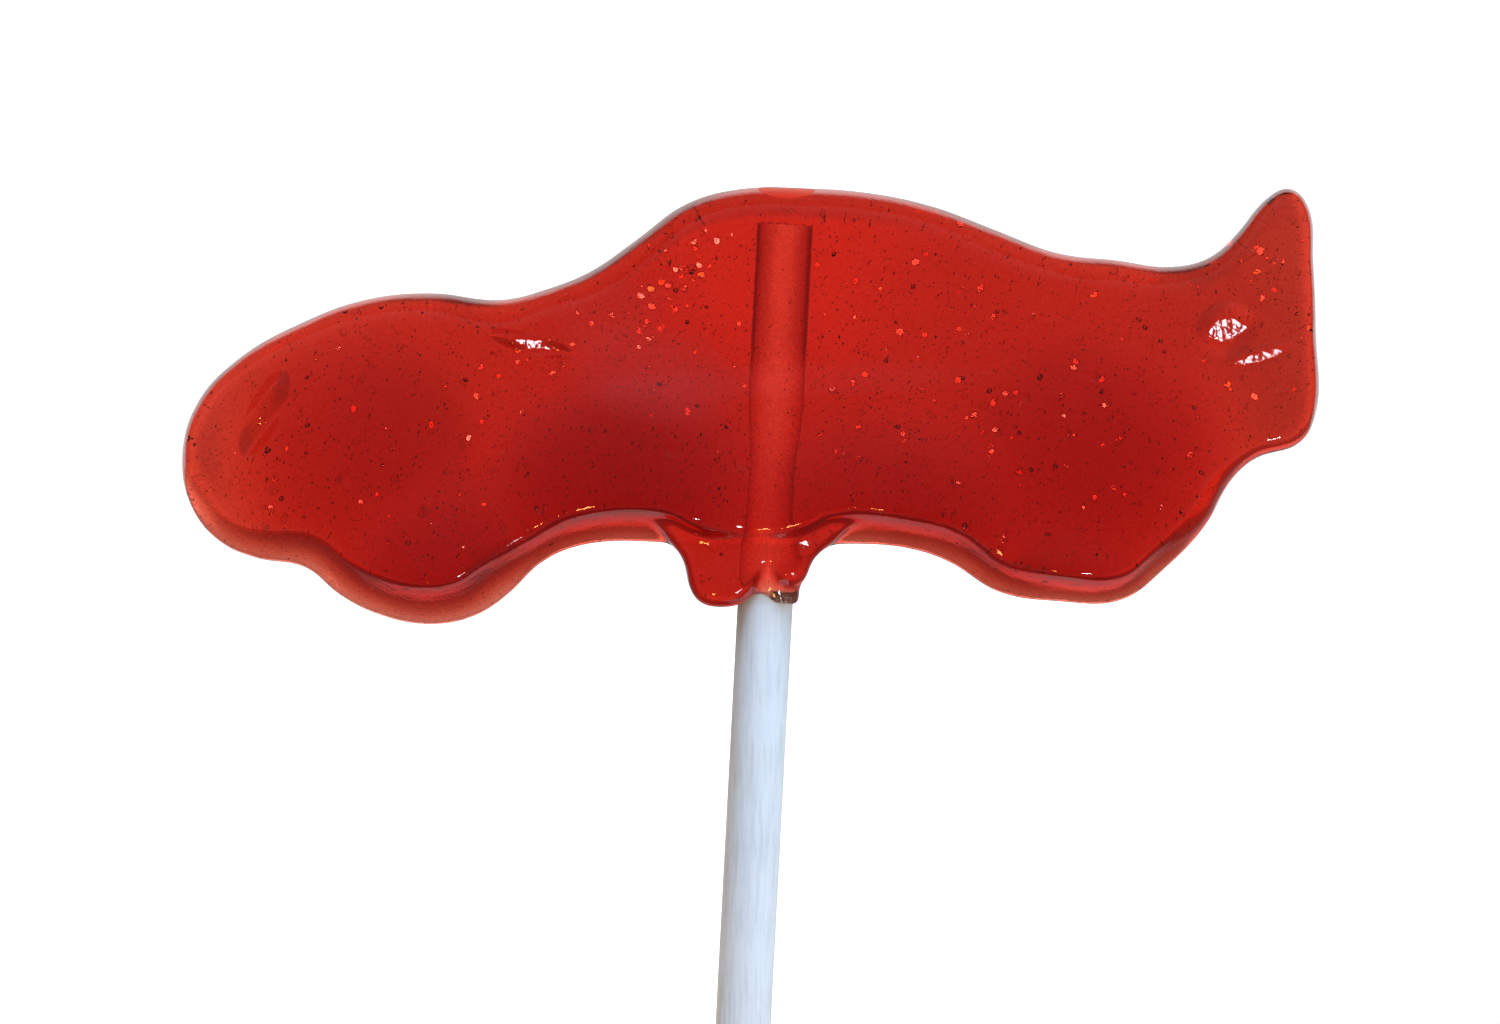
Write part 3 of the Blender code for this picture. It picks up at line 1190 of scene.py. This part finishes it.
@dataclass
class AirAndSpecks:
    """Everything that is caught in the sugar."""

    inside: Inclusions
    bubbles: int = 70
    seeds: int = 4200
    flakes: int = 420
    specks: int = 2200
    # Where flakes gather: pixel, spread in pixels and number.
    clusters: tuple[tuple[Pixel, float, int], ...] = (
        ((690, 262), 22.0, 26),
        ((640, 325), 26.0, 26),
        ((1255, 262), 12.0, 14),
        ((480, 470), 60.0, 18),
        ((1000, 420), 70.0, 24),
    )
    crowd_depth_mm: Span = (1.0, 3.4)
    free_depth_mm: Span = (1.6, 4.2)
    # Ways to the lamps that the flakes mirror, and how often each is picked.
    lamp_ways: tuple[Vector, ...] = (heading(150.0, 40.0), heading(-165.0, 40.0))
    lamp_weights: Span = (3.0, 1.0)
    ior: float = 1.5
    flake_scatter: float = 0.9
    tries: int = 6
    quick_part: int = 3

    def fill(self, count: int, size: Size) -> list[Matrix]:
        """Returns places for a number of balls, each turned at random."""
        places: list[Matrix] = []
        picked = self.inside.picked
        wanted = count
        for _ in range(wanted * self.tries):
            radius = picked.uniform(*size.value) * MM
            spot = self.inside.spot(radius)
            if spot:
                places.append(Matrix.Translation(spot) @ self.inside.any_turn() @ sized(radius))
            if len(places) == wanted:
                break
        return places

    def bend(self, way: Vector, normal: Vector) -> Vector:
        """Returns the way inside the sugar of a ray that comes from some way outside."""
        aside = (way - normal * way.dot(normal)) / self.ior
        return aside + normal * math.sqrt(1.0 - aside.length_squared)

    def tilt(self, place: Vector) -> Matrix:
        """Returns the turn of a flake whose pane mirrors one of the lamps upward."""
        picked = self.inside.picked
        lamp = picked.choices(self.lamp_ways, weights=self.lamp_weights)[0]
        normal = face_under(self.inside.skin, place)[1]
        half = self.bend(lamp, normal) + self.bend(Vector((0.0, 0.0, 1.0)), normal)
        half.normalize()
        jitter = Vector((picked.gauss(0.0, 1.0), picked.gauss(0.0, 1.0), 0.0))
        half = (half + jitter * math.radians(self.flake_scatter)).normalized()
        turn = Matrix.Rotation(picked.uniform(0.0, math.tau), 4, "Z")
        return half.to_track_quat("Z", "Y").to_matrix().to_4x4() @ turn

    def flake_places(self) -> list[Matrix]:
        """Returns places for the flakes, some of them gathered in clusters."""
        places: list[Matrix] = []
        crowds = [(pixel, spread) for pixel, spread, count in self.clusters for _ in range(count)]
        for crowd in (*crowds, *[None] * self.flakes):
            radius = self.inside.picked.uniform(*Size.FLAKE.value) * MM
            if crowd:
                spot = self.inside.near(*crowd, radius, self.crowd_depth_mm)
            else:
                spot = self.inside.spot(radius, self.free_depth_mm)
            if spot:
                places.append(Matrix.Translation(spot) @ self.tilt(spot) @ sized(radius))
        return places

    def build(self, air: bpy.types.Material, burnt: bpy.types.Material) -> None:
        """Builds the bubbles, flakes and specks.

        Args:
            air: The material of everything that is air.
            burnt: The specks' material.
        """
        bubbles = self.fill(self.bubbles, Size.BUBBLE)
        seeds = self.fill(self.seeds, Size.SEED)
        flakes = self.flake_places()
        specks = self.fill(self.specks, Size.SPECK)
        for name, model, places, finish in (
            ("air_bubbles", ball("bubble", 3, (1.0, 0.94, 0.88)), bubbles, air),
            ("air_seeds", ball("seed", 1, (1.0, 1.0, 0.9)), seeds, air),
            ("air_flakes", flake(), flakes, air),
            ("burnt_specks", ball("speck", 1, (1.0, 0.7, 0.5)), specks, burnt),
        ):
            finish_piece(scatter(name, model, places), "", "sugar", finish)


def make_pits(skin: BVHTree) -> Thing:
    """Makes the balls that burst bubbles leave in the face.

    Args:
        skin: The skin of the sugar.

    Returns:
        The balls, sunk so far into the face that their edges lean by less than thirty degrees.
    """
    places = []
    for pixel, mouth_mm in PITS:
        radius = mouth_mm * MM / math.sin(PIT_LEAN)
        point, normal = face_under(skin, from_pixel(*pixel))
        middle = point + normal * radius * math.cos(PIT_LEAN)
        places.append(Matrix.Translation(middle) @ sized(radius))
    return scatter("pits", ball("pit", 5, (1.0, 1.0, 1.0)), places)


# --- The stick -------------------------------------------------------------------------------


@dataclass
class PaperStick:
    """The stick, rolled from a sheet of paper."""

    line: StickLine
    chamfer_mm: float = 0.15
    soaked_end_pixel: float = 604.0

    def build(self, dry: bpy.types.Material, soaked: bpy.types.Material) -> Thing:
        """Builds the stick.

        Args:
            dry: The paper's material.
            soaked: The material of the part inside the sugar.

        Returns:
            The finished piece.
        """
        stick = rod("rolled_stick", self.line, self.line.top, self.line.foot, self.line.radius)
        apply_modifier(
            stick,
            "BEVEL",
            width=self.chamfer_mm * MM,
            segments=3,
            limit_method="ANGLE",
            angle_limit=math.radians(60.0),
        )
        end = level_of(self.soaked_end_pixel)
        with editing(stick):
            bpy.ops.mesh.bisect(plane_co=(0.0, end, 0.0), plane_no=(0.0, 1.0, 0.0))
        bpy.ops.object.shade_smooth_by_angle(angle=math.radians(35.0))
        finish_piece(stick, "stick", "paper", dry, soaked)
        for face in stick.data.polygons:
            face.material_index = 1 if face.center.y > end else 0
        return stick


# --- Studio ----------------------------------------------------------------------------------


@dataclass(frozen=True)
class SoftLight:
    """A rectangular lamp that shines at the sweet."""

    name: str
    azimuth: float
    elevation: float
    distance: float
    width: float
    height: float
    radiance: float
    colour: str = "#ffffff"
    mirrored: bool = True

    def build(self) -> Thing:
        """Adds the lamp.

        Returns:
            The lamp.
        """
        data = bpy.data.lights.new(self.name, "AREA")
        data.shape = "RECTANGLE"
        data.size = self.width
        data.size_y = self.height
        data.energy = self.radiance * math.pi * self.width * self.height
        data.color = linear(self.colour)[:3]
        way = heading(self.azimuth, self.elevation)
        made = add_object(self.name, data)
        made.location = way * self.distance
        made.rotation_euler = (-way).to_track_quat("-Z", "Y").to_euler()
        made.visible_glossy = self.mirrored
        made.visible_transmission = self.mirrored
        return made


@dataclass(frozen=True)
class Studio:
    """Light panel, lamps, sky and camera."""

    camera_distance_mm: float = 800.0
    camera_elevation: float = 89.9
    sensor_mm: float = 36.0
    panel_size: float = 6.0
    sky_base: float = 0.15
    sky_slope: float = 0.08
    sky_least: float = 0.12
    horizon_glow: float = 0.12
    horizon_power: float = 2.4
    floor_glow: float = 0.9
    floor_least: float = 0.05
    # Heights of a way over which the sky gives way to the floor, and the floor gets bright.
    horizon: Span = (0.0, -0.12)
    steep: Span = (-0.78, -0.9)
    # Its part along Y over which the floor gets bright, and the share that the foot's side has.
    roof_side: Span = (-0.14, -0.04)
    foot_share: float = 0.18
    # Name, azimuth, elevation, distance, width, height, radiance and colour.
    lamps: tuple[SoftLight, ...] = (
        SoftLight("key soft box", 15.0, 32.0, 1.2, 0.6, 0.6, 19.0, "#a0d2ff", mirrored=False),
        SoftLight("window", 150.0, 40.0, 1.2, 0.20, 0.20, 40.0, "#f4f7ff"),
        SoftLight("warm lamp", -165.0, 40.0, 1.0, 0.12, 0.16, 30.0, "#ffb45a"),
    )

    def camera(self) -> None:
        """Adds the camera that looks down on the sweet as the photograph does."""
        data = bpy.data.cameras.new("camera")
        data.sensor_fit = "HORIZONTAL"
        data.sensor_width = self.sensor_mm
        data.lens = self.sensor_mm * self.camera_distance_mm / MM_PER_PIXEL / IMAGE_WIDTH
        data.clip_start = 0.01
        data.clip_end = 20.0
        back = heading(180.0, self.camera_elevation)
        made = add_object("camera", data)
        aim = from_pixel(IMAGE_WIDTH / 2, IMAGE_HEIGHT / 2)
        made.location = aim + back * self.camera_distance_mm * MM
        made.rotation_euler = (-back).to_track_quat("-Z", "Y").to_euler()
        bpy.context.scene.camera = made

    def panel(self, finish: bpy.types.Material) -> None:
        """Adds the light panel behind the sweet."""
        place = (0.0, 0.0, -PANEL_DEPTH_MM * MM)
        add = bpy.ops.mesh.primitive_plane_add
        made = add_shape("light_panel", add, size=self.panel_size, location=place)
        settle(made)
        made.data.materials.append(finish)
        made.visible_glossy = False

    def sky(self) -> None:
        """Fills the room with a dim light that grows toward the roof's side and the horizon.

        Under the horizon it stands for the floor that mirrored rays see, as they don't see the
        panel. The floor is bright only steeply below and on the roof's side.
        """
        world = bpy.data.worlds.new("studio")
        bpy.context.scene.world = world
        world.use_nodes = True
        tree = world.node_tree
        tree.nodes.clear()
        way = add_node(tree, "ShaderNodeTexCoord").outputs["Generated"]
        axes = add_node(tree, "ShaderNodeSeparateXYZ", {"Vector": way}).outputs
        low = maths(tree, "SUBTRACT", 1.0, maths(tree, "MAXIMUM", axes["Z"], 0.0))
        rim = maths(tree, "POWER", low, self.horizon_power)
        graded = maths(tree, "MULTIPLY_ADD", axes["Y"], self.sky_slope, self.sky_base)
        graded = maths(tree, "MAXIMUM", graded, self.sky_least)
        above = maths(tree, "MULTIPLY_ADD", rim, self.horizon_glow, graded)
        steep = ramp(tree, axes["Z"], *self.steep)
        toward_roof = ramp(tree, axes["Y"], *self.roof_side, self.foot_share, 1.0)
        bright = maths(tree, "MULTIPLY", steep, toward_roof)
        below = maths(tree, "MULTIPLY_ADD", bright, self.floor_glow, self.floor_least)
        level = mixed(tree, ramp(tree, axes["Z"], *self.horizon), above, below)
        light = add_node(tree, "ShaderNodeBackground", {"Strength": level})
        add_node(tree, "ShaderNodeOutputWorld", {"Surface": light.outputs["Background"]})

    def build(self) -> None:
        """Sets up the whole studio."""
        self.panel(LightPanel().build())
        for lamp in self.lamps:
            lamp.build()
        self.sky()
        self.camera()
        bpy.context.scene.view_settings.view_transform = "Standard"
        log.info("studio: %d lamps", len(self.lamps))


# Name, pixel, half length, half width, turn, width and depth of the wrinkles, and the azimuth
# and amount of the lean.
CRINKLES = (
    Crinkle("rear quarter", (1223, 331), 2.4, 2.1, 20.0, 0.6, 0.14, 165.0, 27.0),
    Crinkle("rear crease", (1256, 358), 3.2, 0.8, 17.0, 0.45, 0.12, 163.0, 26.0),
    Crinkle("front crease", (534, 346), 3.4, 0.8, -15.0, 0.6, 0.16, 149.0, 30.0),
    Crinkle("front wing", (268, 415), 3.6, 1.3, 65.0, 0.5, 0.12, 155.0, 34.5),
)
# Patches of painted sheen: name, pixel, half length, half width, turn and haze.
PAINTED_SHEENS = (
    PaintedSheen("windscreen", (610, 318), 5.5, 2.6, 20.0, 0.005),
    PaintedSheen("scuttle", (655, 375), 7.5, 4.2, -12.0, 0.008),
    PaintedSheen("beltline", (800, 382), 17.0, 1.6, 2.0, 0.005),
)


def main() -> None:
    """Builds the dressed lollipop and its studio."""
    logging.basicConfig(level=logging.INFO, format="%(name)s: %(message)s")
    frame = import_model()
    bpy.ops.object.select_all(action="DESELECT")
    line = StickLine.of_node(frame["nodes"]["stick"])
    sugar = BoiledSugar(line, crinkles=CRINKLES, painted_sheens=PAINTED_SHEENS).build()
    casting = CastSugar(frame["nodes"]["candy"], line).build(sugar, make_pits)
    AirAndSpecks(Inclusions(skin_of(casting), line)).build(TrappedAir().build(), BurntSugar().build())
    PaperStick(line).build(RolledPaper(line).build(), SoakedPaper().build())
    Studio().build()


if __name__ == "__main__":
    main()
